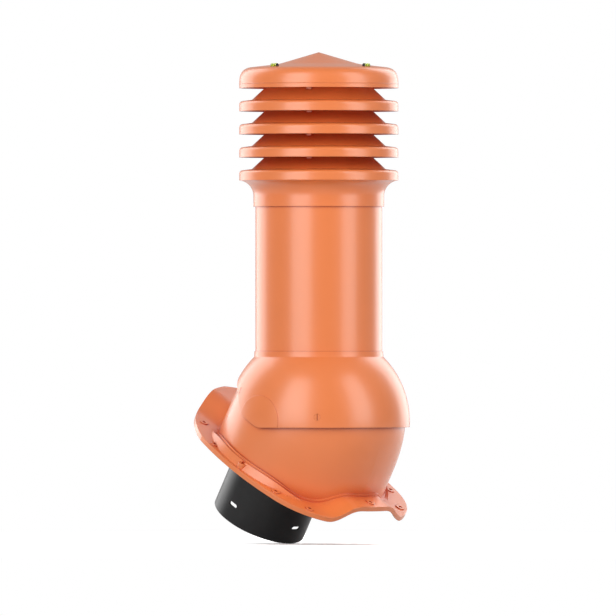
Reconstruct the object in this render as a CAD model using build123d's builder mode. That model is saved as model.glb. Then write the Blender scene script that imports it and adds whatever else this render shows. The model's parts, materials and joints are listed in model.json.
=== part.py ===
from build123d import *
from math import asin, cos, radians, sin, sqrt, tan
import os

# A tile-roof vent of moulded plastic: a louvred head on a plain tube, a round hood that tilts
# over a dome so the tube stands plumb on roofs of different pitch, a base flange shaped to the
# wave of the tiles, and a black spigot for the duct below. Millimetres. +X runs down the roof in
# plan, +Y along the ridge, +Z up. The origin is the centre of the spigot's open end.

# Setting
roof_pitch = 30.0               # pitch the base is drawn at, with the tube plumb
overshoot = 30.0                # how far cutting shapes reach past the flange

# Clearances
socket_fit = 0.3                # radial, between a piece and the socket it is pushed into
seat_gap = 0.3                  # between faces that rest on each other
running_gap = 0.1               # radial, round the pivot pins
screw_fit = 0.1                 # radial, round the small screws

# Tube and duct
tube_radius = 82.5
tube_wall = 2.5
tube_length = 207.0
duct_radius = 62.5              # the duct size that the vent is made for, 125 mm
duct_wall = 2.0
duct_above_tube = 8.0
duct_foot = 35.4                # the duct's lower end, above the pivot
sleeve_above_dome = 2.0

# Hood
hood_radius = 118.5
hood_wall = 2.5
hood_neck_length = 24.0
hood_lip_height = 5.5           # raised collar round the tube's foot
hood_lip_wall = 1.0
hood_lip_flare = 1.6
pad_radius = 34.0               # round pads over the two pivots
pad_rise = 0.8
rim_drop = 8.0                  # the level part of the rim, below the pivot
rim_break = 2.0                 # where the level rim starts to climb, just under the pivot
rim_knee_x = -30.0
rim_knee_z = 8.5
rim_corner_x = -50.0
rim_corner_z = 38.0
rim_back_slope = 38.0           # degrees, along the up-roof side
rim_rounds = (20, 14, 20)       # radii at the rim's three bends

# Dome and skirt of the base
dome_gap = 3.5                  # between the dome and the inside of the hood
dome_wall = 3.0
mouth_height = 70.0             # the dome is open above this level
skirt_flare = 2.0               # how far the skirt stands out from the dome's sphere
skirt_blend_height = 20.0       # where the dome's sphere starts to run out into the skirt

# Flange of the base
flange_wall = 3.0
flange_lip = 6.5                # depth of the flange's turned-down edge
tile_crest = -52.0              # tile surface under the flange's crest, from the pivot along n
tile_pan = -72.2
crest_half_width = 21.0
pan_half_width = 73.0
flange_front = 143.0            # flange reach down the roof from the pivot
flange_back = 168.0             # and up the roof
flange_half_width = 127.0
nose_middle = (0.99, 0.25)      # points of its plan, as shares of the reach and the half width
nose_end = (0.95, 0.51)
corner_middle = (0.79, 0.78)
corner_end = (0.50, 0.94)
flank_end = (-0.45, 0.92)
tail_middle = (-0.81, 0.56)
kerb_width = 2.6                # raised kerb round the skirt's foot
kerb_rise = 2.6
kerb_side_rise = 13.0
kerb_low = 75.0                 # the kerb dips lowest this far off the centre line
apron_reach = 10.0              # the apron below the kerb at the two sides
screw_hole_radius = 2.3
boss_radius = 6.0
boss_rise = 1.2
side_boss_rise = 6.5            # the two bosses that stand in the aprons
crest_boss = (0.92, 0.0)        # boss places, as shares of the plan
side_boss = (0.05, 0.94)
pan_bosses = ((0.78, 0.68), (0.47, 0.86), (-0.32, 0.89), (-0.65, 0.65))

# Duct spigot
spigot_radius = 62.5
spigot_wall = 2.5
spigot_below_plate = 114.5      # from the spigot's plate to its open end
spigot_above_plate = 26.0
spigot_shift = -27.5            # the spigot's axis lies up-roof of the pivot
spigot_plate = 3.0
plate_depth = -50.0             # underside of the spigot's plate, from the pivot along n
ledge_width = 8.0               # ledge inside the skirt that the plate is screwed to
ledge_wall = 6.0
slot_length = 14.0
slot_height = 5.0
slot_from_end = 23.0
boot_wall = 1.5                 # rubber boot from the spigot to the tilting duct
boot_overlap = 12.0

# Louvred head
head_radius = 103.5
ring_pitch = 30.0
ring_count = 3
ring_skirt = 13.3
ring_wall = 2.2
ring_shoulder = 4.7
lip_rise = 1.5                  # of the lip, from the shoulder in to the cone's foot
cone_outer = 87.0
cone_inner = 68.0
leg_inner = 68.2
leg_outer = 73.5
leg_angle = 5.0
leg_first = -57.0               # direction of the first leg, from down-roof
leg_count = 3
socket_depth = 14.0
bowl_skirt = 14.0
bowl_height = 20.0              # the flare from the tube socket out to the head's rim
web_wall = 2.4                  # web that closes the tube's top round the duct
cap_height = 46.8
cap_wall = 2.5
cap_apex_wall = 2.8
cap_seam = 135.0                # direction the cap is turned from, clear of the vials
cap_band = 8.0                  # plain band at the cap's lower edge
cap_cone_radius = 48.0
cap_cone_drop = 14.2
cap_brim_start = 60.0
cap_brim_start_drop = 16.4
cap_brim_radius = 88.0
cap_brim_drop = 19.6

# Spirit levels
vial_radius = 2.7
vial_length = 11.0
vial_round = 1.0
vial_from_axis = 84.0
vial_sink = 1.5                 # how deep each vial lies in the cap's brim

# Pivots and screws
pin_radius = 3.0
pin_head_radius = 6.5
pin_head = 2.5
pin_grip = 2.6                  # how far the pin is held in the hood's wall
pin_boss_radius = 5.5
pin_boss_gap = 1.1
lock_radius = 2.0
lock_head_radius = 4.0
lock_head = 1.4
lock_slot = 0.9
lock_slot_depth = 0.8
lock_gap = 0.5                  # from the screws' tips, backed off, to the skirt
lock_front = 48.0               # directions of the locking screws, from down-roof
lock_back = 113.0
lock_front_rise = 6.0           # and their heights from the pivot
lock_back_rise = 40.0
plate_screw_count = 4
plate_screw_turn = 45.0
plate_screw_radius = 1.9
plate_screw_head_radius = 4.0
plate_screw_head = 2.0
plate_screw_length = 8.0

os.makedirs("parts", exist_ok=True)

# Frames. s runs down the slope, w along the ridge and n square to the roof, all from the pivot.
slope = Vector(cos(radians(roof_pitch)), 0, -sin(radians(roof_pitch)))
normal = Vector(sin(radians(roof_pitch)), 0, cos(radians(roof_pitch)))
ridge = Vector(0, 1, 0)
plumb = Vector(0, 0, 1)
spigot_end = plate_depth - spigot_below_plate
pivot = slope * -spigot_shift + normal * -spigot_end
roof = Plane(origin=pivot, x_dir=slope, z_dir=normal)
roof_side = Plane(origin=pivot, x_dir=slope, z_dir=-ridge)
roof_cross = Plane(origin=pivot, x_dir=ridge, z_dir=slope)
spigot_frame = Plane(origin=pivot + slope * spigot_shift, x_dir=slope, z_dir=normal)
head = Plane(origin=pivot, z_dir=plumb)
head_side = Plane(origin=pivot, x_dir=(1, 0, 0), z_dir=-ridge)
roof_axis = Axis(pivot, normal)
tube_axis = Axis(pivot, plumb)

# Radii that follow the hood
dome_radius = hood_radius - hood_wall - dome_gap
skirt_radius = dome_radius + skirt_flare
lock_tip = skirt_radius + lock_gap

# Levels of the tube and head, from the pivot
tube_foot = sqrt(hood_radius**2 - tube_radius**2) + seat_gap
tube_top = tube_foot + tube_length
bowl_foot = tube_top + seat_gap - socket_depth
bowl_rim = bowl_foot + bowl_skirt + bowl_height
base_top = bowl_rim + ring_skirt
ring_tops = [base_top + ring_pitch * (ring_count - i) for i in range(ring_count)]
cap_foot = ring_tops[0] + ring_pitch - ring_skirt
cap_top = cap_foot + cap_height
duct_top = tube_top + duct_above_tube
neck_radius = tube_radius - tube_wall - socket_fit
socket_radius = tube_radius + socket_fit

# The skirt's blend is an arc that leaves the dome's sphere and ends upright in the skirt
blend_angle = asin(skirt_blend_height / dome_radius)
blend_radius = (skirt_radius - dome_radius * cos(blend_angle)) / (1 - cos(blend_angle))
blend_foot = skirt_blend_height - blend_radius * sin(blend_angle)
blend_centre = skirt_radius - blend_radius
pivot_face = blend_centre + sqrt(blend_radius**2 - blend_foot**2)
kerb_radius = skirt_radius + kerb_width
bore_radius = skirt_radius - dome_wall
spigot_top = plate_depth + spigot_plate + spigot_above_plate
side_span = flange_half_width + overshoot
deep = tile_pan - overshoot


def finish(builder, label):
    """Name a finished piece and write it out."""
    builder.part.label = label
    export_step(builder.part, f"parts/{label}.step")


def on_circle(radius, height):
    """Point of a half profile on a circle about the pivot."""
    return (sqrt(radius**2 - height**2), height)


def head_plane(direction):
    """Upright half plane through the tube's axis, in a direction from down-roof."""
    angle = radians(direction)
    return Plane(origin=pivot, x_dir=(cos(angle), sin(angle), 0), z_dir=(sin(angle), -cos(angle), 0))


def cone_level(radius):
    """Height of a louvre's cone above its shoulder, at a radius."""
    return lip_rise + (cone_outer - radius) * (1 - lip_rise / (cone_outer - cone_inner))


def louvre_line(top, foot):
    """Outer line of a louvre: upright skirt, round shoulder, sloping lip, cone rising inwards."""
    with BuildLine() as line:
        skirt = Line((head_radius, foot), (head_radius, top - ring_shoulder))
        shoulder = RadiusArc(skirt @ 1, (head_radius - ring_shoulder, top), -ring_shoulder)
        lip = Line(shoulder @ 1, (cone_outer, top + cone_level(cone_outer)))
        Line(lip @ 1, (cone_inner, top + cone_level(cone_inner)))
    return line.line


def leg_section(direction, upper, lower, flat_top=False):
    """Section of a leg that stands on the cone below. Its foot follows that cone."""
    top_in = upper if flat_top else upper + cone_level(leg_inner)
    top_out = upper if flat_top else upper + cone_level(leg_outer)
    with BuildSketch(head_plane(direction)) as section:
        with BuildLine():
            Polyline(
                (leg_inner, top_in),
                (leg_outer, top_out),
                (leg_outer, lower + cone_level(leg_outer)),
                (leg_inner, lower + cone_level(leg_inner)),
                close=True,
            )
        make_face()
    return section.sketch


def leg_directions():
    """Where the legs stand, each turned back by half its own angle."""
    return [leg_first - leg_angle / 2 + 360 / leg_count * k for k in range(leg_count)]


def dome_half(inset):
    """Half profile of the solid dome and skirt, down past the tile, drawn in by the inset."""
    radius = dome_radius - inset
    with BuildSketch(roof_side) as half:
        with BuildLine():
            start = on_circle(radius, radius * sin(blend_angle))
            middle = on_circle(radius, (radius + start[1]) / 2)
            cap = ThreePointArc((0, radius), middle, start)
            blend = RadiusArc(cap @ 1, (skirt_radius - inset, blend_foot), blend_radius - inset)
            skirt = Line(blend @ 1, (skirt_radius - inset, deep))
            Polyline(skirt @ 1, (0, deep), (0, radius))
        make_face()
    return half.sketch


def plan_point(share, side, inset=0):
    """Point of the flange's plan, from its shares of the reach and of the half width."""
    along, out = share
    reach = flange_front if along > 0 else flange_back
    return (along * (reach - inset), side * out * (flange_half_width - inset))


def flange_plan(inset):
    """Plan of the flange: an egg with its broad end down the roof."""
    with BuildSketch(roof) as plan:
        with BuildLine():
            for side in (1, -1):
                start = plan_point((1, 0), side, inset)
                nose = ThreePointArc(
                    start, plan_point(nose_middle, side, inset), plan_point(nose_end, side, inset)
                )
                corner = ThreePointArc(
                    nose @ 1, plan_point(corner_middle, side, inset), plan_point(corner_end, side, inset)
                )
                flank = ThreePointArc(
                    corner @ 1, plan_point((0, 1), side, inset), plan_point(flank_end, side, inset)
                )
                ThreePointArc(
                    flank @ 1, plan_point(tail_middle, side, inset), plan_point((-1, 0), side, inset)
                )
        make_face()
    return plan.sketch


def under_tile_wave(lift):
    """Section across the roof, filled below the tile's wave when that is lifted this far."""
    with BuildSketch(roof_cross) as section:
        with BuildLine():
            for side in (1, -1):
                crest = Line((0, tile_crest + lift), (side * crest_half_width, tile_crest + lift))
                pan = Line(
                    (side * pan_half_width, tile_pan + lift), (side * side_span, tile_pan + lift)
                )
                Spline(crest @ 1, pan @ 0, tangents=(crest % 1, pan % 0))
                Line(pan @ 1, (side * side_span, deep))
            Line((-side_span, deep), (side_span, deep))
        make_face()
    return section.sketch


def under_kerb_wave(lift):
    """The same for the kerb, which dips beside the crest and rises again at the sides."""
    crest_level = tile_crest + flange_lip + kerb_rise + lift
    low_level = tile_pan + flange_lip + kerb_rise + lift
    side_level = tile_pan + flange_lip + kerb_side_rise + lift
    with BuildSketch(roof_cross) as section:
        with BuildLine():
            for side in (1, -1):
                crest = Line((0, crest_level), (side * crest_half_width, crest_level))
                shelf = Line((side * kerb_radius, side_level), (side * side_span, side_level))
                low = (side * kerb_low, low_level)
                Spline(crest @ 1, low, tangents=(crest % 1, (side, 0)))
                Spline(low, shelf @ 0, tangents=((side, 0), shelf % 0))
                Line(shelf @ 1, (side * side_span, deep))
            Line((-side_span, deep), (side_span, deep))
        make_face()
    return section.sketch


def apron_half(inset):
    """Half profile of the cone that carries the skirt down to the flange at its sides."""
    shelf = tile_pan + flange_lip + kerb_side_rise
    run = apron_reach / (shelf - tile_pan)
    with BuildSketch(roof_side) as half:
        with BuildLine():
            Polyline(
                (0, shelf),
                (kerb_radius - inset, shelf),
                (kerb_radius - inset + run * (shelf - deep), deep),
                (0, deep),
                close=True,
            )
        make_face()
    return half.sketch


# Top cap: a low cone that eases into a flatter brim, a round shoulder and a plain band
with BuildPart() as top_cap:
    with BuildSketch(head_plane(cap_seam)):
        with BuildLine():
            rise = Line((0, cap_top), (cap_cone_radius, cap_top - cap_cone_drop))
            brim = Line(
                (cap_brim_start, cap_top - cap_brim_start_drop), (cap_brim_radius, cap_top - cap_brim_drop)
            )
            Spline(rise @ 1, brim @ 0, tangents=(rise % 1, brim % 0))
            band = Line((head_radius, cap_foot + cap_band), (head_radius, cap_foot))
            Spline(brim @ 1, band @ 0, tangents=(brim % 1, band % 0))
            Line(band @ 1, (head_radius - cap_wall, cap_foot))
            inside = Line(
                (head_radius - cap_wall, cap_foot), (head_radius - cap_wall, cap_foot + cap_band)
            )
            under_brim = Line(
                (cap_brim_radius, cap_top - cap_brim_drop - cap_wall),
                (cap_brim_start, cap_top - cap_brim_start_drop - cap_wall),
            )
            Spline(inside @ 1, under_brim @ 0, tangents=(inside % 1, under_brim % 0))
            Polyline(under_brim @ 1, (0, cap_top - cap_apex_wall), (0, cap_top))
        make_face()
    revolve(axis=tube_axis)
    leg_top = cap_top - cap_brim_start_drop - cap_wall
    for direction in leg_directions():
        leg = leg_section(direction, leg_top, ring_tops[0] + seat_gap, flat_top=True)
        revolve(leg, axis=tube_axis, revolution_arc=leg_angle)
    brim_slope = (cap_brim_drop - cap_brim_start_drop) / (cap_brim_radius - cap_brim_start)
    vial_level = cap_top - cap_brim_drop + brim_slope * (cap_brim_radius - vial_from_axis)
    vial_level += vial_radius - vial_sink
    front_vial = Plane(origin=pivot + Vector(vial_from_axis, 0, vial_level), z_dir=(0, 1, 0))
    side_vial = Plane(origin=pivot + Vector(0, -vial_from_axis, vial_level), z_dir=(1, 0, 0))
    for seat in (front_vial, side_vial):
        with BuildSketch(seat):
            Circle(vial_radius + socket_fit / 2)
        extrude(amount=vial_length / 2 + socket_fit, both=True, mode=Mode.SUBTRACT)
finish(top_cap, "top_cap")

# Spirit levels: clear vials with rounded ends, one facing down-roof and one facing along the ridge
for vial_name, seat in (("front", front_vial), ("side", side_vial)):
    with BuildPart() as vial:
        with BuildSketch(seat):
            Circle(vial_radius)
        extrude(amount=vial_length / 2, both=True)
        fillet(vial.edges().filter_by(GeomType.CIRCLE), vial_round)
    finish(vial, f"spirit_level_{vial_name}")

# Louvre rings: alike, each standing on the cone of the one below by three legs
for index, ring_top in enumerate(ring_tops):
    with BuildPart() as louvre_ring:
        with BuildSketch(head_side):
            with BuildLine():
                add(louvre_line(ring_top, ring_top - ring_skirt))
                offset(amount=ring_wall, side=Side.LEFT)
            make_face()
        revolve(axis=tube_axis)
        for direction in leg_directions():
            leg = leg_section(direction, ring_top - ring_wall, ring_top - ring_pitch + seat_gap)
            revolve(leg, axis=tube_axis, revolution_arc=leg_angle)
    finish(louvre_ring, f"louvre_ring_{index + 1}")

# Head base: the lowest louvre in one piece with the flared bowl and the socket on the tube
with BuildPart() as head_base:
    web_foot = tube_top + seat_gap
    collar_bore = duct_radius + socket_fit
    with BuildSketch(head_side):
        with BuildLine():
            add(louvre_line(base_top, bowl_rim))
            socket = Line(
                (socket_radius + ring_wall, bowl_foot), (socket_radius + ring_wall, bowl_foot + bowl_skirt)
            )
            TangentArc(socket @ 1, (head_radius, bowl_rim), tangent=socket % 1)
            offset(amount=ring_wall, side=Side.LEFT)
        make_face()
        with BuildLine():
            Polyline(
                (collar_bore, web_foot),
                (socket_radius + ring_wall / 2, web_foot),
                (socket_radius + ring_wall / 2, web_foot + web_wall),
                (collar_bore + ring_wall, web_foot + web_wall),
                (collar_bore + ring_wall, tube_top + duct_above_tube),
                (collar_bore, tube_top + duct_above_tube),
                close=True,
            )
        make_face()
    revolve(axis=tube_axis)
finish(head_base, "head_base")

# Outer tube
with BuildPart() as outer_tube:
    with BuildSketch(head.offset(tube_foot)):
        Circle(tube_radius)
        Circle(tube_radius - tube_wall, mode=Mode.SUBTRACT)
    extrude(amount=tube_length)
finish(outer_tube, "outer_tube")

# Inner duct
with BuildPart() as inner_duct:
    with BuildSketch(head.offset(duct_foot)):
        Circle(duct_radius)
        Circle(duct_radius - duct_wall, mode=Mode.SUBTRACT)
    extrude(amount=duct_top - duct_foot)
finish(inner_duct, "inner_duct")

# Insulation sleeve: foam between the duct and the tube, stepped in where it passes the hood's neck
with BuildPart() as insulation_sleeve:
    sleeve_bore = duct_radius + socket_fit
    sleeve_foot = sqrt(dome_radius**2 - sleeve_bore**2) + sleeve_above_dome
    sleeve_step = tube_foot + hood_neck_length + seat_gap
    with BuildSketch(head.offset(sleeve_foot)):
        Circle(neck_radius - hood_wall - socket_fit)
        Circle(sleeve_bore, mode=Mode.SUBTRACT)
    extrude(amount=sleeve_step - sleeve_foot)
    with BuildSketch(head.offset(sleeve_step)):
        Circle(tube_radius - tube_wall - socket_fit)
        Circle(sleeve_bore, mode=Mode.SUBTRACT)
    extrude(amount=tube_top - sleeve_step)
finish(insulation_sleeve, "insulation_sleeve")

# Round pads over the pivots, a thin skin that follows the hood's sphere
with BuildPart() as pads:
    with Locations(pivot):
        Sphere(hood_radius + pad_rise)
        Sphere(hood_radius - hood_wall / 2, mode=Mode.SUBTRACT)
    with BuildSketch(head_side):
        Circle(pad_radius)
    extrude(amount=2 * hood_radius, both=True, mode=Mode.INTERSECT)

# Tilt hood: a round shell with a neck inside the tube and a low collar outside it. Its rim is
# level on the down-roof side and climbs up-roof to clear the slope.
lock_places = []
for side in (1, -1):
    for turn, rise in ((lock_front, lock_front_rise), (lock_back, lock_back_rise)):
        reach = sqrt(hood_radius**2 - rise**2)
        angle = radians(side * turn)
        outward = Vector(reach * cos(angle), reach * sin(angle), rise).normalized()
        across = Vector(-sin(angle), cos(angle), 0)
        lock_places.append(Plane(origin=pivot + outward * hood_radius, x_dir=across, z_dir=outward))
with BuildPart() as tilt_hood:
    hood_bore = hood_radius - hood_wall
    groove = tube_foot - seat_gap
    lip_foot = on_circle(hood_radius, groove - hood_lip_flare)
    hood_low = -hood_radius / 2
    with BuildSketch(head_side):
        with BuildLine():
            neck_inside = on_circle(hood_bore, sqrt(hood_bore**2 - (neck_radius - hood_wall) ** 2))
            collar = Polyline(
                neck_inside,
                (neck_radius - hood_wall, tube_foot + hood_neck_length),
                (neck_radius, tube_foot + hood_neck_length),
                (neck_radius, groove),
                (socket_radius, groove),
                (socket_radius, groove + hood_lip_height),
                (socket_radius + hood_lip_wall, groove + hood_lip_height),
                lip_foot,
            )
            outside = ThreePointArc(lip_foot, (hood_radius, 0), on_circle(hood_radius, hood_low))
            edge = Line(outside @ 1, on_circle(hood_bore, hood_low))
            ThreePointArc(edge @ 1, (hood_bore, 0), neck_inside)
        make_face()
    revolve(axis=tube_axis)
    add(pads.part)
    for side in (1, -1):
        with BuildSketch(head_side.offset(side * (pivot_face + pin_boss_gap))):
            Circle(pin_boss_radius)
        extrude(amount=side * (hood_bore - pivot_face))
        with BuildSketch(head_side.offset(side * dome_radius)):
            Circle(pin_radius)
        extrude(amount=side * (pivot_face - dome_radius + pin_boss_gap + pin_grip), mode=Mode.SUBTRACT)
    with BuildSketch(head_side):
        with BuildLine():
            far = 2 * hood_radius
            climb = tan(radians(rim_back_slope))
            rim = FilletPolyline(
                (far, -rim_drop),
                (rim_break, -rim_drop),
                (rim_knee_x, rim_knee_z),
                (rim_corner_x, rim_corner_z),
                (-far, rim_corner_z + (far + rim_corner_x) * climb),
                radius=rim_rounds,
            )
            Polyline(rim @ 1, (-far, -far), (far, -far), rim @ 0)
        make_face()
    extrude(amount=far, both=True, mode=Mode.SUBTRACT)
    for place in lock_places:
        with BuildSketch(place):
            Circle(lock_radius + screw_fit)
        extrude(amount=-2 * hood_wall, mode=Mode.SUBTRACT)
        with BuildSketch(place.offset(-lock_head)):
            Circle(lock_head_radius + screw_fit)
        extrude(amount=2 * lock_head, mode=Mode.SUBTRACT)
finish(tilt_hood, "tilt_hood")

# Pivot pins, pushed from inside the dome through its wall and into the hood's bosses
for pin_name, side in (("left", 1), ("right", -1)):
    with BuildPart() as pivot_pin:
        head_seat = pivot_face - dome_wall - seat_gap
        with BuildSketch(head_side.offset(side * (head_seat - pin_head))):
            Circle(pin_head_radius)
        extrude(amount=side * pin_head)
        with BuildSketch(head_side.offset(side * head_seat)):
            Circle(pin_radius)
        extrude(amount=side * (pivot_face + pin_boss_gap + pin_grip - head_seat))
    finish(pivot_pin, f"pivot_pin_{pin_name}")

# Locking screws, flush in the hood and backed off the dome so that the hood can tilt
for index, place in enumerate(lock_places):
    with BuildPart() as locking_screw:
        with BuildSketch(place.offset(-lock_head)):
            Circle(lock_head_radius)
        extrude(amount=lock_head)
        with BuildSketch(place.offset(lock_tip - hood_radius)):
            Circle(lock_radius)
        extrude(amount=hood_radius - lock_head - lock_tip)
        with BuildSketch(place):
            Rectangle(lock_slot, 3 * lock_head_radius)
        extrude(amount=-lock_slot_depth, mode=Mode.SUBTRACT)
    finish(locking_screw, f"locking_screw_{index + 1}")

# Everything that is hollow in the base: the dome and skirt, the aprons and the flange's underside
with BuildPart() as apron_hollow:
    revolve(apron_half(flange_wall), axis=roof_axis)
    extrude(under_kerb_wave(-2 * flange_wall), amount=2 * flange_back, both=True, mode=Mode.INTERSECT)
with BuildPart() as flange_hollow:
    extrude(flange_plan(flange_wall), amount=deep)
    extrude(
        under_tile_wave(flange_lip - flange_wall), amount=2 * flange_back, both=True, mode=Mode.INTERSECT
    )
with BuildPart() as apron:
    revolve(apron_half(0), axis=roof_axis)
    extrude(under_kerb_wave(-flange_wall), amount=2 * flange_back, both=True, mode=Mode.INTERSECT)
with BuildPart() as kerb:
    with BuildSketch(roof.offset(deep)):
        Circle(kerb_radius)
    extrude(amount=-deep)
    extrude(under_kerb_wave(0), amount=2 * flange_back, both=True, mode=Mode.INTERSECT)

# Screw bosses of the flange: one on the crest, then pairs in the pans, with their top levels
pan_boss = tile_pan + flange_lip + boss_rise
boss_places = [(plan_point(crest_boss, 1), tile_crest + flange_lip + boss_rise)]
for side in (1, -1):
    boss_places.append((plan_point(side_boss, side), pan_boss + side_boss_rise))
    for share in pan_bosses:
        boss_places.append((plan_point(share, side), pan_boss))

# Base shell: dome, skirt, kerb, aprons and the flange with its turned-down edge, in one moulding
with BuildPart() as base_shell:
    extrude(flange_plan(0), amount=deep)
    extrude(under_tile_wave(flange_lip), amount=2 * flange_back, both=True, mode=Mode.INTERSECT)
    add(kerb.part)
    add(apron.part)
    revolve(dome_half(0), axis=roof_axis)
    add(flange_hollow.part, mode=Mode.SUBTRACT)
    add(apron_hollow.part, mode=Mode.SUBTRACT)
    for place, level in boss_places:
        with BuildSketch(roof.offset(level)):
            with Locations(place):
                Circle(boss_radius)
        extrude(amount=deep - level)
    extrude(under_tile_wave(0), amount=2 * flange_back, both=True, mode=Mode.SUBTRACT)
    revolve(dome_half(dome_wall), axis=roof_axis, mode=Mode.SUBTRACT)
    with BuildSketch(roof.offset(plate_depth + spigot_plate + seat_gap)):
        Circle(bore_radius + dome_wall / 2)
        Circle(bore_radius - ledge_width, mode=Mode.SUBTRACT)
    extrude(amount=ledge_wall)
    with BuildSketch(head.offset(mouth_height)):
        Rectangle(4 * dome_radius, 4 * dome_radius)
    extrude(amount=dome_radius, mode=Mode.SUBTRACT)
    with BuildSketch(head_side):
        Circle(pin_radius + running_gap)
    extrude(amount=2 * dome_radius, both=True, mode=Mode.SUBTRACT)
    with BuildSketch(head_side):
        Circle(pin_head_radius + seat_gap)
    extrude(amount=pivot_face - dome_wall, both=True, mode=Mode.SUBTRACT)
    with BuildSketch(roof):
        with Locations([place for place, level in boss_places]):
            Circle(screw_hole_radius)
    extrude(amount=deep, mode=Mode.SUBTRACT)
    with BuildSketch(roof.offset(plate_depth)):
        with PolarLocations(bore_radius - ledge_width / 2, plate_screw_count, start_angle=plate_screw_turn):
            Circle(plate_screw_radius + screw_fit)
    extrude(amount=plate_screw_length + seat_gap, mode=Mode.SUBTRACT)
finish(base_shell, "base_shell")

# Duct spigot: the black pipe end with four slots, and its plate under the ledge
with BuildPart() as duct_spigot:
    with BuildSketch(spigot_frame.offset(spigot_end)):
        Circle(spigot_radius)
    extrude(amount=spigot_top - spigot_end)
    slot_level = spigot_end + slot_from_end
    slot_walls = (roof_side, roof_cross.offset(spigot_shift))
    slot_centres = ((spigot_shift, slot_level), (0, slot_level))
    with BuildSketch(roof.offset(plate_depth)):
        Circle(bore_radius - socket_fit)
    extrude(amount=spigot_plate)
    with BuildSketch(spigot_frame.offset(spigot_end)):
        Circle(spigot_radius - spigot_wall)
    extrude(amount=spigot_top - spigot_end, mode=Mode.SUBTRACT)
    for wall, centre in zip(slot_walls, slot_centres):
        with BuildSketch(wall):
            with Locations(centre):
                SlotOverall(slot_length, slot_height)
        extrude(amount=2 * spigot_radius, both=True, mode=Mode.SUBTRACT)
    with BuildSketch(roof.offset(plate_depth)):
        with PolarLocations(bore_radius - ledge_width / 2, plate_screw_count, start_angle=plate_screw_turn):
            Circle(plate_screw_radius + screw_fit)
    extrude(amount=spigot_plate, mode=Mode.SUBTRACT)
finish(duct_spigot, "duct_spigot")

# Spigot screws, four alike, from below through the plate into the ledge
with BuildPart() as spigot_screws:
    with BuildSketch(roof.offset(plate_depth - plate_screw_head)):
        with PolarLocations(bore_radius - ledge_width / 2, plate_screw_count, start_angle=plate_screw_turn):
            Circle(plate_screw_head_radius)
    extrude(amount=plate_screw_head)
    with BuildSketch(roof.offset(plate_depth)):
        with PolarLocations(bore_radius - ledge_width / 2, plate_screw_count, start_angle=plate_screw_turn):
            Circle(plate_screw_radius)
    extrude(amount=plate_screw_length)
finish(spigot_screws, "spigot_screws")

# Flexible boot: a thin rubber sleeve from the spigot's top up to the foot of the tilting duct
boot_low = spigot_frame.offset(spigot_top)
boot_high = head.offset(duct_foot)
with BuildPart() as boot_hollow:
    for end, bore in ((boot_low, spigot_radius), (boot_high, duct_radius)):
        with BuildSketch(end):
            Circle(bore + socket_fit)
    loft()
with BuildPart() as flexible_boot:
    for end, bore in ((boot_low, spigot_radius), (boot_high, duct_radius)):
        with BuildSketch(end):
            Circle(bore + socket_fit + boot_wall)
    loft()
    add(boot_hollow.part, mode=Mode.SUBTRACT)
    for end, bore, reach in ((boot_low, spigot_radius, -1), (boot_high, duct_radius, 1)):
        with BuildSketch(end):
            Circle(bore + socket_fit + boot_wall)
            Circle(bore + socket_fit, mode=Mode.SUBTRACT)
        extrude(amount=reach * boot_overlap)
finish(flexible_boot, "flexible_boot")
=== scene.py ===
import json
import math

import bpy
from bpy.props import FloatProperty, FloatVectorProperty, PointerProperty
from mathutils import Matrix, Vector


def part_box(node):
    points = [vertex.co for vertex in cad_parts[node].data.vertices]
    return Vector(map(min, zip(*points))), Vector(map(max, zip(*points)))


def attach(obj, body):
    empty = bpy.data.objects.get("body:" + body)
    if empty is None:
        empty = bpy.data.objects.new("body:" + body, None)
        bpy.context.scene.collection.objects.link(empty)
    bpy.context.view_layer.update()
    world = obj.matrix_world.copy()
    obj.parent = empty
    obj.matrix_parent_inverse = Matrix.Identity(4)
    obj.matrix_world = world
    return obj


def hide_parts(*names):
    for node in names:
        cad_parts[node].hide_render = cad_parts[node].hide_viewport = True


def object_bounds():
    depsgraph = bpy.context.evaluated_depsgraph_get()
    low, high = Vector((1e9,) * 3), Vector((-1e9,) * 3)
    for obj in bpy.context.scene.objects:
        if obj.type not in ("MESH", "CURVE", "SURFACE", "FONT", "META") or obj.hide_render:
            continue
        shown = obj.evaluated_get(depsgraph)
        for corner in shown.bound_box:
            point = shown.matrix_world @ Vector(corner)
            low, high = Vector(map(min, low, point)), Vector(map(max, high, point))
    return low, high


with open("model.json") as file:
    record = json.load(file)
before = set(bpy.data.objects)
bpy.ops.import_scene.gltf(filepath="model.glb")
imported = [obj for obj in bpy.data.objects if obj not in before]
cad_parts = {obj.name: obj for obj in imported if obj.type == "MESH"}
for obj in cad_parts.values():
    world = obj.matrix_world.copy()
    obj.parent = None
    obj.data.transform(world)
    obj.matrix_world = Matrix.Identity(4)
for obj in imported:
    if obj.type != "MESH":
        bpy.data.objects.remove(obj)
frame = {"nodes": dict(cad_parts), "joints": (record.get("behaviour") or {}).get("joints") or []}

bl_info = {
    "name": "Tile-Roof Vent",
    "version": (1, 0, 0),
    "blender": (4, 5, 0),
    "location": "View3D > Sidebar > Roof Vent",
    "description": "Dresses the tile-roof vent: shell, louvres, spirit levels, spigot and studio",
    "category": "Object",
}

CAD_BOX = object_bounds()
PIVOT = Vector(frame["joints"][0]["pos_m"])
UP = Vector((0, 0, 1))
SHARP_EDGE = math.radians(28.0)
ROUND_STEPS = 4

SHELL_NODES = (
    "top_cap", "louvre_ring_1", "louvre_ring_2", "louvre_ring_3", "head_base", "outer_tube",
    "tilt_hood", "base_shell", "locking_screw_1", "locking_screw_2", "locking_screw_3",
    "locking_screw_4",
)
BLACK_NODES = ("duct_spigot", "inner_duct", "pivot_pin_left", "pivot_pin_right")
VIAL_NODES = ("spirit_level_front", "spirit_level_side")

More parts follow.
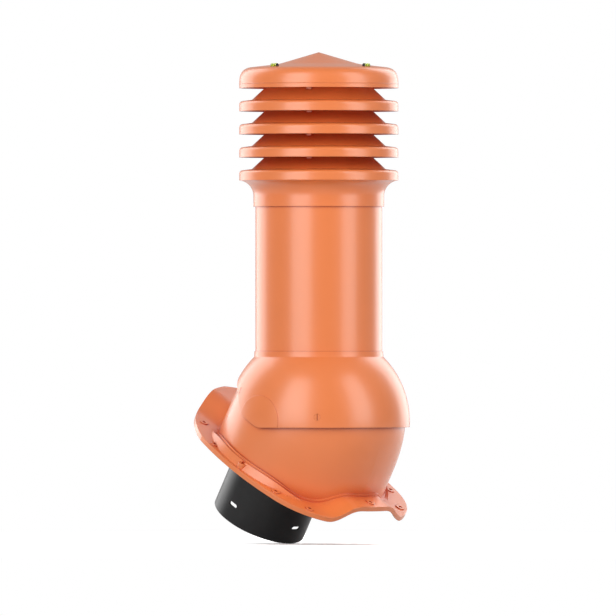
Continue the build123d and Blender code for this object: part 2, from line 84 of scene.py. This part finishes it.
# The bubble's depth is a share of the vial's inner radius, and the rest are shares of that depth
BUBBLE_DEPTH = 0.75
BUBBLE_SINK = 0.55
BUBBLE_WIDTH = 0.7
BUBBLE_HEIGHT = 0.6

# Soft boxes: turn from the camera in degrees, height above the aim, distance, size, watts
SOFT_BOXES = {
    "key_box": (-32, 1.8, 3.0, (2.0, 4.2), 94.0),
    "fill_box": (56, 1.8, 3.0, (1.5, 4.2), 66.0),
    "rim_box_left": (-132, 1.7, 3.2, (2.5, 4.2), 78.0),
    "rim_box_right": (142, 1.7, 3.2, (2.0, 4.2), 64.0),
}


# Sizes and colours


class StudioSettings(bpy.types.PropertyGroup):
    """Camera, lamps and floor."""

    view_angle: FloatProperty(
        name="View angle", description="Direction the camera looks from, round the tube",
        default=math.radians(43.0), unit="ROTATION",
    )
    frame_width: FloatProperty(
        name="Frame width", description="Width of the picture at the vent's axis",
        default=0.8008, unit="LENGTH",
    )
    distance: FloatProperty(
        name="Camera distance", description="How far away the camera stands",
        default=18.0, unit="LENGTH",
    )
    aim_left: FloatProperty(
        name="Aim left", description="How far left of the pivots the picture's centre lies",
        default=0.0140, unit="LENGTH",
    )
    aim_up: FloatProperty(
        name="Aim up", description="How far above the pivots the picture's centre lies",
        default=0.1469, unit="LENGTH",
    )
    mirrored: FloatProperty(
        name="Mirrored backdrop", description="How strongly the backdrop shows in gloss",
        default=0.4, min=0.0, max=1.0, subtype="FACTOR",
    )
    sky_light: FloatProperty(
        name="Sky light", description="Strength of the sky where it only lights the vent",
        default=0.12, min=0.0, max=1.0, subtype="FACTOR",
    )
    floor_tone: FloatProperty(
        name="Floor tone", description="How pale the floor is where it only lights the vent",
        default=0.42, min=0.0, max=1.0, subtype="FACTOR",
    )
    floor_lift: FloatProperty(
        name="Floor lift", description="How pale the floor is where the camera sees it",
        default=2.3, min=0.0,
    )
    fade_start: FloatProperty(
        name="Fade start", description="Distance from the vent where the floor's shadows fade",
        default=0.35, unit="LENGTH",
    )
    fade_end: FloatProperty(
        name="Fade end", description="Distance from the vent where the floor is plain white",
        default=1.1, unit="LENGTH",
    )
    backdrop: FloatVectorProperty(
        name="Backdrop", description="Colour of the floor",
        default=(1.0, 1.0, 1.0), subtype="COLOR",
    )


class ShellSettings(bpy.types.PropertyGroup):
    """The terracotta shell plastic."""

    colour: FloatVectorProperty(
        name="Terracotta", description="Colour of the shell's plastic",
        default=(0.88, 0.222, 0.054), subtype="COLOR",
    )
    # Painted shade: the deeper colour painted into the gaps and corners where other parts stand
    # close, and how near they must be for it
    painted_shade_colour: FloatVectorProperty(
        name="Deep terracotta", description="Colour that gathers in the gaps and corners",
        default=(0.52, 0.040, 0.008), subtype="COLOR",
    )
    painted_shade_reach: FloatProperty(
        name="Gap reach", description="How near a facing wall must be for the deeper colour",
        default=0.030, unit="LENGTH",
    )
    gloss_roughness: FloatProperty(
        name="Roughness", description="Roughness of the shell's satin surface",
        default=0.40, min=0.0, max=1.0, subtype="FACTOR",
    )
    coat: FloatProperty(
        name="Coat", description="Strength of the glossy coat outside the gaps",
        default=0.68, min=0.0, max=1.0, subtype="FACTOR",
    )
    grain_size: FloatProperty(
        name="Grain", description="Size of the fine moulded grain",
        default=0.0009, unit="LENGTH",
    )
    soft_edge: FloatProperty(
        name="Soft edge", description="Reach of the softened shading at the moulded edges",
        default=0.0014, unit="LENGTH",
    )


class CapSettings(bpy.types.PropertyGroup):
    """The bead round the cap."""

    band: FloatProperty(
        name="Band", description="Height of the bead above the cap's lower edge",
        default=0.0080, unit="LENGTH",
    )
    bead_rise: FloatProperty(
        name="Bead rise", description="How far the bead stands out from the cap",
        default=0.00035, unit="LENGTH",
    )
    bead_width: FloatProperty(
        name="Bead width", description="Width of the bead up the cap",
        default=0.0011, unit="LENGTH",
    )


class SpigotSettings(bpy.types.PropertyGroup):
    """The black spigot and the parts inside."""

    colour: FloatVectorProperty(
        name="Black", description="Colour of the black plastic",
        default=(0.008, 0.008, 0.0085), subtype="COLOR",
    )


class LevelSettings(bpy.types.PropertyGroup):
    """The spirit levels in the cap."""

    liquid: FloatVectorProperty(
        name="Liquid", description="Colour of the liquid in the vials",
        default=(0.62, 0.74, 0.03), subtype="COLOR",
    )
    wall: FloatProperty(
        name="Wall", description="Thickness of a vial's clear wall",
        default=0.0004, unit="LENGTH",
    )
    end_round: FloatProperty(
        name="End rounding", description="Rounding of a vial's two ends",
        default=0.001, unit="LENGTH",
    )
    liquid_round: FloatProperty(
        name="Liquid rounding", description="Rounding of the liquid's ends, as a share of its radius",
        default=0.6, min=0.0, max=1.0, subtype="FACTOR",
    )
    mark_spread: FloatProperty(
        name="Mark spread", description="Distance from a vial's middle to each of its two marks",
        default=0.0021, unit="LENGTH",
    )
    mark_width: FloatProperty(
        name="Mark width", description="Width of a mark round a vial",
        default=0.0007, unit="LENGTH",
    )
    bubble_length: FloatProperty(
        name="Bubble", description="Length of the bubble",
        default=0.0036, unit="LENGTH",
    )


# Shader arithmetic


def fill(tree, slot, value):
    """Link a signal to a socket, or set the socket to a plain value."""
    if isinstance(value, Signal):
        tree.links.new(value.socket, slot)
    else:
        slot.default_value = value


class Signal:
    """A number that varies over a surface. Plain arithmetic on it adds Math nodes."""

    def __init__(self, tree, socket):
        self.tree = tree
        self.socket = socket

    def maths(self, operation, *values, clamp=False):
        node = self.tree.nodes.new("ShaderNodeMath")
        node.operation = operation
        node.use_clamp = clamp
        for slot, value in zip(node.inputs, values):
            fill(self.tree, slot, value)
        return Signal(self.tree, node.outputs[0])

    def __add__(self, other):
        return self.maths("ADD", self, other)

    def __radd__(self, other):
        return self.maths("ADD", other, self)

    def __sub__(self, other):
        return self.maths("SUBTRACT", self, other)

    def __rsub__(self, other):
        return self.maths("SUBTRACT", other, self)

    def __mul__(self, other):
        return self.maths("MULTIPLY", self, other)

    def __rmul__(self, other):
        return self.maths("MULTIPLY", other, self)

    def clamped(self):
        return self.maths("ADD", self, 0.0, clamp=True)

    def swing(self, reach):
        """Centre a noise on nought, to add to a roughness."""
        return (self - 0.5) * reach


class NodeTree:
    """A node tree, emptied, and the one method that adds its nodes."""

    def __init__(self, tree):
        self.tree = tree
        self.tree.nodes.clear()

    def node(self, kind, settings=None, output=0, **values):
        """Add a node: its settings first, then the values or links of its sockets.

        A socket is named with an underscore for each space, or numbered as in0, in1 and so on.
        """
        node = self.tree.nodes.new(kind)
        for key, value in (settings or {}).items():
            setattr(node, key, value)
        for key, value in values.items():
            numbered = key.startswith("in") and key[2:].isdigit()
            slot = node.inputs[int(key[2:]) if numbered else key.replace("_", " ")]
            fill(self.tree, slot, value)
        return Signal(self.tree, node.outputs[output])

    def close(self, kind, surface):
        """Add the tree's output node and link its surface."""
        out = self.tree.nodes.new(kind)
        self.tree.links.new(surface.socket, out.inputs["Surface"])

    def shown(self, mirrored):
        """1 where the camera looks straight at it, and a share of that where gloss mirrors it."""
        seen = self.node("ShaderNodeLightPath", output="Is Camera Ray")
        glossy = self.node("ShaderNodeLightPath", output="Is Glossy Ray")
        return seen + glossy * mirrored


class Finish(NodeTree):
    """A material, built up node by node and closed by its shader."""

    def __init__(self, name):
        self.material = bpy.data.materials.new(name)
        self.material.use_nodes = True
        super().__init__(self.material.node_tree)

    def place(self):
        """Object coordinates, in metres."""
        return self.node("ShaderNodeTexCoord", output="Object")

    def noise(self, size, detail):
        return self.node(
            "ShaderNodeTexNoise", Vector=self.place(), Scale=1.0 / size, Detail=detail,
            Roughness=0.5,
        )

    def mix(self, factor, first, second):
        """Blend of two colours, through the sockets that a Mix node keeps for colours."""
        return self.node(
            "ShaderNodeMix", {"data_type": "RGBA"}, output=2, in0=factor, in6=first, in7=second,
        )

    def bump(self, height, distance, strength, **normal):
        return self.node(
            "ShaderNodeBump", Height=height, Distance=distance, Strength=strength, **normal,
        )

    def plastic(self, **values):
        """Close the material with its main shader, and hand the material over."""
        self.close("ShaderNodeOutputMaterial", self.node("ShaderNodeBsdfPrincipled", **values))
        return self.material


def shade(colour, factor):
    """A colour made lighter or darker, as four numbers."""
    return (*(min(1.0, channel * factor) for channel in colour[:3]), 1.0)


# Finishes


def shell_plastic(settings):
    """Satin terracotta plastic: slow clouds in the colour and gloss, fine moulded grain.

    In the gaps and corners it has painted shade, a deeper colour and less coat, and its edges shade
    as if rounded.
    """
    finish = Finish("terracotta_plastic")
    clouds = finish.noise(size=0.09, detail=3.0)
    flow = finish.noise(size=0.018, detail=4.0)
    grain = finish.noise(settings.grain_size, detail=2.0)
    edges = finish.node("ShaderNodeBevel", {"samples": 8}, Radius=settings.soft_edge)
    tone = (clouds * 0.7 + flow * 0.3).clamped()
    plain = finish.mix(tone, shade(settings.colour, 0.955), shade(settings.colour, 1.04))
    # Painted shade: ambient occlusion darkens the colour and takes the coat away in the gaps and
    # corners
    openness = finish.node(
        "ShaderNodeAmbientOcclusion", {"samples": 8}, output="AO", Distance=settings.painted_shade_reach,
    )
    gap_contrast = 2.2
    gap_cutoff = 0.8
    open_share = (openness * gap_contrast - gap_cutoff).clamped()
    flow_bump = finish.bump(flow, distance=0.0002, strength=0.3, Normal=edges)
    return finish.plastic(
        # Painted shade: the deeper colour where the occlusion finds gaps
        Base_Color=finish.mix(open_share, (*settings.painted_shade_colour, 1.0), plain),
        Roughness=settings.gloss_roughness + clouds.swing(0.05) + flow.swing(0.05),
        IOR=1.5, Specular_IOR_Level=0.6,
        # Painted shade: the coat fades in the gaps
        Coat_Weight=open_share * settings.coat, Coat_Roughness=0.24, Coat_IOR=1.5,
        Normal=finish.bump(grain, distance=0.00004, strength=0.5, Normal=flow_bump),
    )


def black_plastic(settings):
    """Black pipe plastic with a fine grain and a few scuffs."""
    finish = Finish("black_plastic")
    grain = finish.noise(size=0.0012, detail=2.0)
    scuffs = finish.noise(size=0.012, detail=5.0)
    scuff_bump = finish.bump(scuffs, distance=0.0002, strength=0.2)
    return finish.plastic(
        Base_Color=finish.mix(scuffs, shade(settings.colour, 0.85), shade(settings.colour, 1.7)),
        Roughness=0.36 + scuffs.swing(0.14), IOR=1.5, Specular_IOR_Level=0.32,
        Normal=finish.bump(grain, distance=0.00005, strength=0.4, Normal=scuff_bump),
    )


def bead_foam():
    """Pale expanded foam with its beads."""
    finish = Finish("bead_foam")
    beads_per_metre = 260.0
    seam_sharpness = 9.0
    beads = finish.node(
        "ShaderNodeTexVoronoi", {"feature": "DISTANCE_TO_EDGE"}, Vector=finish.place(),
        Scale=beads_per_metre,
    )
    seam = (beads * seam_sharpness).clamped()
    return finish.plastic(
        Base_Color=finish.mix(seam, (0.60, 0.60, 0.58, 1), (0.84, 0.84, 0.82, 1)), Roughness=0.75,
        Normal=finish.bump(seam, distance=0.0004, strength=0.6),
    )


def soft_rubber():
    """Matt black rubber."""
    finish = Finish("soft_rubber")
    bloom = finish.noise(size=0.02, detail=4.0)
    grain = finish.noise(size=0.0015, detail=2.0)
    return finish.plastic(
        Base_Color=finish.mix(bloom, (0.014, 0.014, 0.014, 1), (0.03, 0.03, 0.03, 1)),
        Roughness=0.6 + bloom.swing(0.2),
        Normal=finish.bump(grain, distance=0.0001, strength=0.4),
    )


def zinc_steel():
    """Galvanised screw steel with a fine mottle."""
    finish = Finish("zinc_steel")
    mottle = finish.noise(size=0.002, detail=3.0)
    return finish.plastic(
        Base_Color=finish.mix(mottle, (0.42, 0.43, 0.45, 1), (0.62, 0.63, 0.64, 1)), Metallic=1.0,
        Roughness=0.34 + mottle.swing(0.2),
        Normal=finish.bump(mottle, distance=0.00005, strength=0.4),
    )


def vial_liquid(settings):
    """Bright fluorescent liquid, a touch deeper in places."""
    finish = Finish("vial_liquid")
    drift = finish.noise(size=0.004, detail=2.0)
    return finish.plastic(
        Base_Color=finish.mix(drift, shade(settings.liquid, 0.9), shade(settings.liquid, 1.1)),
        Roughness=0.12 + drift.swing(0.05), Coat_Weight=1.0, Coat_Roughness=0.03,
    )


def vial_bubble():
    """Pale face of the bubble."""
    finish = Finish("vial_bubble")
    drift = finish.noise(size=0.002, detail=2.0)
    return finish.plastic(
        Base_Color=finish.mix(drift, (0.86, 0.92, 0.55, 1), (0.95, 0.98, 0.75, 1)),
        Roughness=0.1 + drift.swing(0.04), Coat_Weight=1.0, Coat_Roughness=0.02,
    )


def vial_clear():
    """Clear moulded wall of a vial, with faint flow in it."""
    finish = Finish("vial_clear")
    flow = finish.noise(size=0.003, detail=2.0)
    return finish.plastic(
        Base_Color=finish.mix(flow, (0.94, 0.98, 0.90, 1), (1.0, 1.0, 0.97, 1)),
        Roughness=0.04 + flow.swing(0.03), IOR=1.49, Transmission_Weight=1.0,
    )


# Helpers


def deselect():
    bpy.ops.object.select_all(action="DESELECT")


def corners(name):
    """A CAD node's lowest and highest corners at rest."""
    low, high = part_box(name)
    return Vector(low), Vector(high)


def seat(piece, material):
    """Give a new piece of the head its finish and its body."""
    piece.data.materials.clear()
    piece.data.materials.append(material)
    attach(piece, "head")


def apply_place(piece):
    """Leave the piece's place in its mesh and its object at the origin."""
    deselect()
    piece.select_set(True)
    bpy.context.view_layer.objects.active = piece
    bpy.ops.object.transform_apply(location=True, rotation=True, scale=True)


def soften(piece, width):
    """Round a piece's sharp edges and shade it smooth between them."""
    edge = piece.modifiers.new("rounded_edges", "BEVEL")
    edge.width = width
    edge.segments = ROUND_STEPS
    edge.limit_method = "ANGLE"
    edge.angle_limit = SHARP_EDGE
    edge.use_clamp_overlap = False
    edge.harden_normals = True
    bpy.ops.object.shade_smooth()
    bpy.ops.object.modifier_apply(modifier=edge.name)


def dress(nodes, material):
    """Give CAD nodes a finish."""
    for name in nodes:
        for slot in frame["nodes"][name].material_slots:
            slot.material = material


# Operators


class VENT_OT_finishes(bpy.types.Operator):
    """Give the shell, the parts inside it and the screws their finishes."""

    bl_idname = "vent.finishes"
    bl_label = "Finish the Shell"

    def execute(self, context):
        scene = context.scene
        dress(SHELL_NODES, shell_plastic(scene.vent_shell))
        dress(BLACK_NODES, black_plastic(scene.vent_spigot))
        dress(["insulation_sleeve"], bead_foam())
        dress(["flexible_boot"], soft_rubber())
        dress(["spigot_screws"], zinc_steel())
        return {"FINISHED"}


class VENT_OT_cap_bead(bpy.types.Operator):
    """Run the fine moulded bead round the cap, above its plain lower band."""

    bl_idname = "vent.cap_bead"
    bl_label = "Cap Bead"

    def execute(self, context):
        settings = context.scene.vent_cap
        low, high = corners("top_cap")
        level = Vector((PIVOT.x, PIVOT.y, low.z + settings.band))
        deselect()
        bpy.ops.mesh.primitive_torus_add(
            major_segments=192, minor_segments=12, major_radius=(high.y - low.y) / 2,
            minor_radius=settings.bead_rise, location=level,
        )
        bead = bpy.context.object
        bead.name = "cap_bead"
        bpy.ops.object.mode_set(mode="EDIT")
        bpy.ops.mesh.select_all(action="SELECT")
        stretch = settings.bead_width / (2 * settings.bead_rise)
        bpy.ops.transform.resize(value=(1.0, 1.0, stretch), center_override=level)
        bpy.ops.object.mode_set(mode="OBJECT")
        apply_place(bead)
        bpy.ops.object.shade_smooth()
        seat(bead, bpy.data.materials["terracotta_plastic"])
        return {"FINISHED"}


class VENT_OT_levels(bpy.types.Operator):
    """Build the two spirit levels: clear wall, liquid, bubble, end plugs and marks."""

    bl_idname = "vent.levels"
    bl_label = "Spirit Levels"

    def execute(self, context):
        settings = context.scene.vent_levels
        finishes = {
            "wall": vial_clear(),
            "liquid": vial_liquid(settings),
            "bubble": vial_bubble(),
            "mark": bpy.data.materials["black_plastic"],
        }
        for name in VIAL_NODES:
            self.vial(name, settings, finishes)
        return {"FINISHED"}

    def vial(self, name, settings, finishes):
        """One vial, in the place of its CAD node."""
        low, high = corners(name)
        size = high - low
        centre = (low + high) / 2
        along = Vector((1, 0, 0)) if size.x > size.y else Vector((0, 1, 0))
        radius = size.z / 2
        length = max(size.x, size.y)
        inside = radius - settings.wall
        wall = self.rod(f"{name}_wall", centre, along, radius, length, settings.end_round)
        seat(wall, finishes["wall"])
        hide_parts(name)
        filling = self.rod(
            f"{name}_liquid", centre, along, inside, length - 2 * settings.wall,
            inside * settings.liquid_round,
        )
        seat(filling, finishes["liquid"])
        bubble = self.bubble(f"{name}_bubble", settings, centre, along, inside)
        seat(bubble, finishes["bubble"])
        marks = [-settings.mark_spread, settings.mark_spread]
        plugs = [settings.mark_width - length / 2, length / 2 - settings.mark_width]
        for index, offset in enumerate(marks + plugs, start=1):
            ring = self.rod(
                f"{name}_mark_{index}", centre + along * offset, along,
                inside + settings.wall / 3, settings.mark_width, settings.mark_width / 4,
            )
            seat(ring, finishes["mark"])

    def rod(self, name, centre, along, radius, length, end_round):
        """A round rod with rounded ends."""
        deselect()
        bpy.ops.mesh.primitive_cylinder_add(
            vertices=32, radius=radius, depth=length, location=centre,
            rotation=UP.rotation_difference(along).to_euler(),
        )
        piece = bpy.context.object
        piece.name = name
        apply_place(piece)
        soften(piece, end_round)
        return piece

    def bubble(self, name, settings, centre, along, inside):
        """A long bubble that lies against the top of the vial."""
        deselect()
        depth = inside * BUBBLE_DEPTH
        bpy.ops.mesh.primitive_uv_sphere_add(
            segments=24, ring_count=12, radius=1.0,
            location=centre + UP * (inside - depth * BUBBLE_SINK),
        )
        piece = bpy.context.object
        piece.name = name
        half = settings.bubble_length / 2
        width = depth * BUBBLE_WIDTH
        piece.scale = (
            half if along.x else width, half if along.y else width, depth * BUBBLE_HEIGHT,
        )
        apply_place(piece)
        bpy.ops.object.shade_smooth()
        return piece


class VENT_OT_stage(bpy.types.Operator):
    """Set up the floor, the lamps and the camera."""

    bl_idname = "vent.stage"
    bl_label = "Studio"

    def execute(self, context):
        scene = context.scene
        settings = scene.vent_studio
        self.floor(settings)
        self.lamps(scene, settings)
        self.world(scene, settings)
        self.camera(scene, settings)
        scene.view_settings.view_transform = "Standard"
        return {"FINISHED"}

    def floor(self, settings):
        """A pale floor that keeps the vent's shadow and fades to plain white further out."""
        deselect()
        clearance = 0.0005
        bpy.ops.mesh.primitive_plane_add(size=60.0, location=(0, 0, CAD_BOX[0].z - clearance))
        floor = bpy.context.object
        floor.name = "studio_floor"
        apply_place(floor)
        finish = Finish("studio_floor")
        white = finish.shown(settings.mirrored).clamped()
        lift = settings.floor_lift
        unseen = shade(settings.backdrop, settings.floor_tone)
        lit = finish.mix(white, unseen, (lift, lift, lift, 1.0))
        diffuse = finish.node("ShaderNodeBsdfDiffuse", Color=lit)
        glow = finish.node("ShaderNodeEmission", Color=(1.0, 1.0, 1.0, 1.0), Strength=1.0)
        axis = finish.node(
            "ShaderNodeMapping", {"vector_type": "POINT"}, Vector=finish.place(),
            Location=(-PIVOT.x, 0.0, 0.0),
        )
        reach = finish.node(
            "ShaderNodeVectorMath", {"operation": "LENGTH"}, output="Value", in0=axis,
        )
        far = finish.node(
            "ShaderNodeMapRange", {"interpolation_type": "SMOOTHSTEP"}, Value=reach,
            From_Min=settings.fade_start, From_Max=settings.fade_end,
        )
        surface = finish.node("ShaderNodeMixShader", in0=far * white, in1=diffuse, in2=glow)
        finish.close("ShaderNodeOutputMaterial", surface)
        floor.data.materials.append(finish.material)

    def lamps(self, scene, settings):
        """Soft boxes that stand round the vent and look level at its axis."""
        aim = PIVOT + UP * settings.aim_up
        for name, (turn, height, reach, size, power) in SOFT_BOXES.items():
            angle = settings.view_angle + math.radians(turn)
            lamp = bpy.data.lights.new(name, "AREA")
            lamp.shape = "RECTANGLE"
            lamp.size, lamp.size_y = size
            lamp.energy = power
            holder = bpy.data.objects.new(name, lamp)
            scene.collection.objects.link(holder)
            away = Vector((math.sin(angle) * reach, -math.cos(angle) * reach, 0))
            holder.location = aim + away + UP * height
            holder.rotation_euler = (-away).to_track_quat("-Z", "Y").to_euler()

    def world(self, scene, settings):
        """An even pale sky, white where it is seen or mirrored."""
        world = bpy.data.worlds.new("studio_sky")
        scene.world = world
        world.use_nodes = True
        sky = NodeTree(world.node_tree)
        through = sky.node("ShaderNodeLightPath", output="Is Transmission Ray")
        white = (sky.shown(settings.mirrored) + through).clamped()
        strength = white * (1 - settings.sky_light) + settings.sky_light
        back = sky.node("ShaderNodeBackground", Color=(1.0, 1.0, 1.0, 1.0), Strength=strength)
        sky.close("ShaderNodeOutputWorld", back)

    def camera(self, scene, settings):
        """The photograph's camera: far away, level and straight."""
        view = settings.view_angle
        right = Vector((math.cos(view), math.sin(view), 0))
        back = Vector((math.sin(view), -math.cos(view), 0))
        aim = PIVOT - right * settings.aim_left + UP * settings.aim_up
        lens = bpy.data.cameras.new("studio_camera")
        lens.sensor_width = 36.0
        lens.lens = lens.sensor_width * settings.distance / settings.frame_width
        lens.clip_start, lens.clip_end = 1.0, 100.0
        camera = bpy.data.objects.new("studio_camera", lens)
        scene.collection.objects.link(camera)
        camera.location = aim + back * settings.distance
        camera.rotation_euler = (-back).to_track_quat("-Z", "Y").to_euler()
        scene.camera = camera


class VENT_PT_panel(bpy.types.Panel):
    """The vent's operators."""

    bl_label = "Roof Vent"
    bl_idname = "VENT_PT_panel"
    bl_space_type = "VIEW_3D"
    bl_region_type = "UI"
    bl_category = "Roof Vent"

    def draw(self, context):
        for operator in OPERATORS:
            self.layout.operator(operator.bl_idname)


SETTINGS = {
    "vent_studio": StudioSettings,
    "vent_shell": ShellSettings,
    "vent_cap": CapSettings,
    "vent_spigot": SpigotSettings,
    "vent_levels": LevelSettings,
}
OPERATORS = (VENT_OT_finishes, VENT_OT_cap_bead, VENT_OT_levels, VENT_OT_stage)


def register():
    for name, group in SETTINGS.items():
        bpy.utils.register_class(group)
        setattr(bpy.types.Scene, name, PointerProperty(type=group))
    for operator in OPERATORS:
        bpy.utils.register_class(operator)
    bpy.utils.register_class(VENT_PT_panel)


def unregister():
    bpy.utils.unregister_class(VENT_PT_panel)
    for operator in reversed(OPERATORS):
        bpy.utils.unregister_class(operator)
    for name, group in SETTINGS.items():
        delattr(bpy.types.Scene, name)
        bpy.utils.unregister_class(group)


def main():
    register()
    for operator in OPERATORS:
        group, name = operator.bl_idname.split(".")
        getattr(getattr(bpy.ops, group), name)()


if __name__ == "__main__":
    main()
